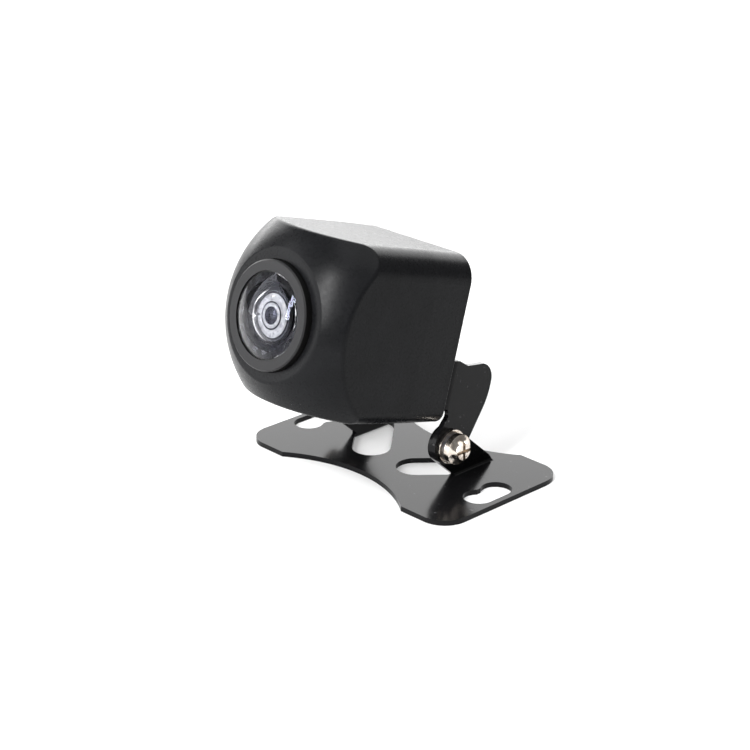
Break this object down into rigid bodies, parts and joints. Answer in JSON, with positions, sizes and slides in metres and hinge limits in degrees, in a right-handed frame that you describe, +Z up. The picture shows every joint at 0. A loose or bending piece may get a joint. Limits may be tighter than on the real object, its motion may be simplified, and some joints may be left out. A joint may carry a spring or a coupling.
{
  "type": "backup camera",
  "caption": "Square vehicle camera with a domed nose and fisheye lens, tilting on a U bracket clamped to the folded ears of a slotted base plate.",
  "frame": {"origin": "centre of the base plate's underside, on the surface that it is fixed to", "axes": "+X along the plate and the hinge, -Y the way the lens looks, +Z up from the mounting surface"},
  "size_m": [0.046, 0.0437, 0.0434],
  "materials": {
    "painted_steel": "satin black stove enamel on sheet steel",
    "nickel_steel": "bright nickel-plated steel",
    "spring_steel": "dark blued spring steel",
    "housing_plastic": "matte, finely textured black moulding",
    "ring_plastic": "satin dark grey",
    "barrel_metal": "matte black anodised",
    "glass": "coated optical glass",
    "filter_glass": "blue-green infrared filter glass",
    "seal_rubber": "black silicone",
    "holder_plastic": "black glass-filled moulding",
    "board": "green solder mask",
    "chip": "black epoxy package",
    "brass": "turned brass"
  },
  "bodies": {
    "stand": {"base_plate": "painted_steel"},
    "camera_head": {"u_bracket": "painted_steel", "front_housing": "housing_plastic", "rear_cover": "housing_plastic", "lens_ring": "ring_plastic", "front_glass": "glass", "glass_seal": "seal_rubber", "lens_barrel": "barrel_metal", "lens_element_2": "glass", "lens_spacer": "barrel_metal", "lens_element_3": "glass", "aperture_stop": "barrel_metal", "lens_element_4": "glass", "infrared_filter": "filter_glass", "lens_oring": "seal_rubber", "lens_holder": "holder_plastic", "sensor_board": "board", "main_board": "board", "image_sensor": "chip", "board_spacers": "brass", "board_connector": "holder_plastic", "board_chips": "chip", "cable_socket": "holder_plastic", "holder_screws": "nickel_steel", "board_screws": "nickel_steel", "housing_seal": "seal_rubber", "cable_grommet": "seal_rubber", "cover_screws": "nickel_steel", "bracket_screws": "nickel_steel"},
    "clamp_screw_right": {"hinge_screw_right": "nickel_steel", "spring_washer_right": "spring_steel", "flat_washer_right": "nickel_steel"},
    "clamp_screw_left": {"hinge_screw_left": "nickel_steel", "spring_washer_left": "spring_steel", "flat_washer_left": "nickel_steel"}
  },
  "joints": [
    {"name": "camera_tilt", "type": "hinge", "parent": "stand", "child": "camera_head", "pos_m": [0, -0.00185, 0.0069], "axis": [1, 0, 0], "range_deg": [-60, 50]},
    {"name": "screw_turn_right", "type": "hinge", "parent": "stand", "child": "clamp_screw_right", "pos_m": [0.013, -0.00185, 0.0069], "axis": [1, 0, 0], "continuous": true},
    {"name": "screw_turn_left", "type": "hinge", "parent": "stand", "child": "clamp_screw_left", "pos_m": [-0.013, -0.00185, 0.0069], "axis": [-1, 0, 0], "continuous": true}
  ]
}
